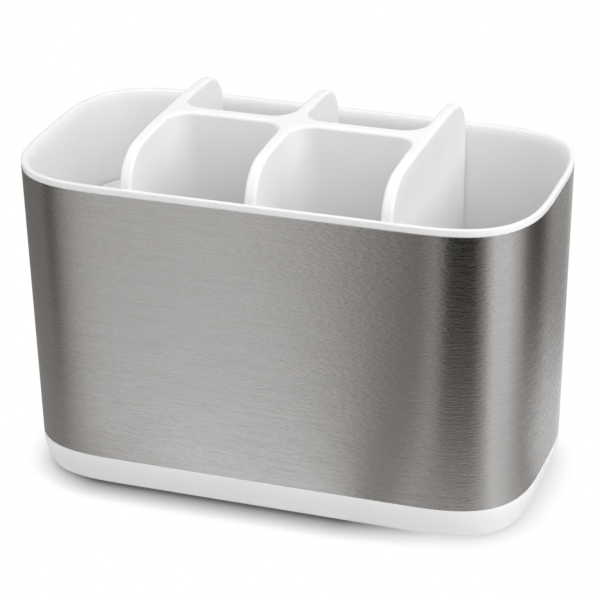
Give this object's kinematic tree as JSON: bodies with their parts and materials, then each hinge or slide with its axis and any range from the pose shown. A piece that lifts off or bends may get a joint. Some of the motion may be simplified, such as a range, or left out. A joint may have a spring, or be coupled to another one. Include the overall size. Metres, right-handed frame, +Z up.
{
  "type": "bathroom caddy",
  "caption": "Open-top countertop caddy: tapered brushed-steel sleeve with soft corners between a white liner tub and base, with a lift-out finned divider and side shelf.",
  "frame": {"origin": "centre of the footprint at table height, under the four pads", "axes": "+X to the right along the long side, +Y from the front towards the back, +Z up"},
  "size_m": [0.222, 0.114, 0.1537],
  "materials": {
    "sleeve_steel": "fine horizontal brushing",
    "liner_white": "satin moulded",
    "divider_white": "satin moulded",
    "base_white": "matte moulded",
    "pad_rubber": "matte"
  },
  "bodies": {
    "base": {"base_tray": "base_white", "foot_pad_front_left": "pad_rubber", "foot_pad_front_right": "pad_rubber", "foot_pad_back_left": "pad_rubber", "foot_pad_back_right": "pad_rubber"},
    "sleeve": {"steel_sleeve": "sleeve_steel"},
    "liner": {"liner_tub": "liner_white"},
    "divider": {"divider_insert": "divider_white"}
  },
  "joints": [
    {"name": "sleeve_lift", "type": "slide", "parent": "base", "child": "sleeve", "axis": [0, 0, 1], "range_m": [0, 0.03]},
    {"name": "liner_lift", "type": "slide", "parent": "sleeve", "child": "liner", "axis": [0, 0, 1], "range_m": [0, 0.14]},
    {"name": "divider_lift", "type": "slide", "parent": "liner", "child": "divider", "axis": [0, 0, 1], "range_m": [0, 0.14]}
  ]
}
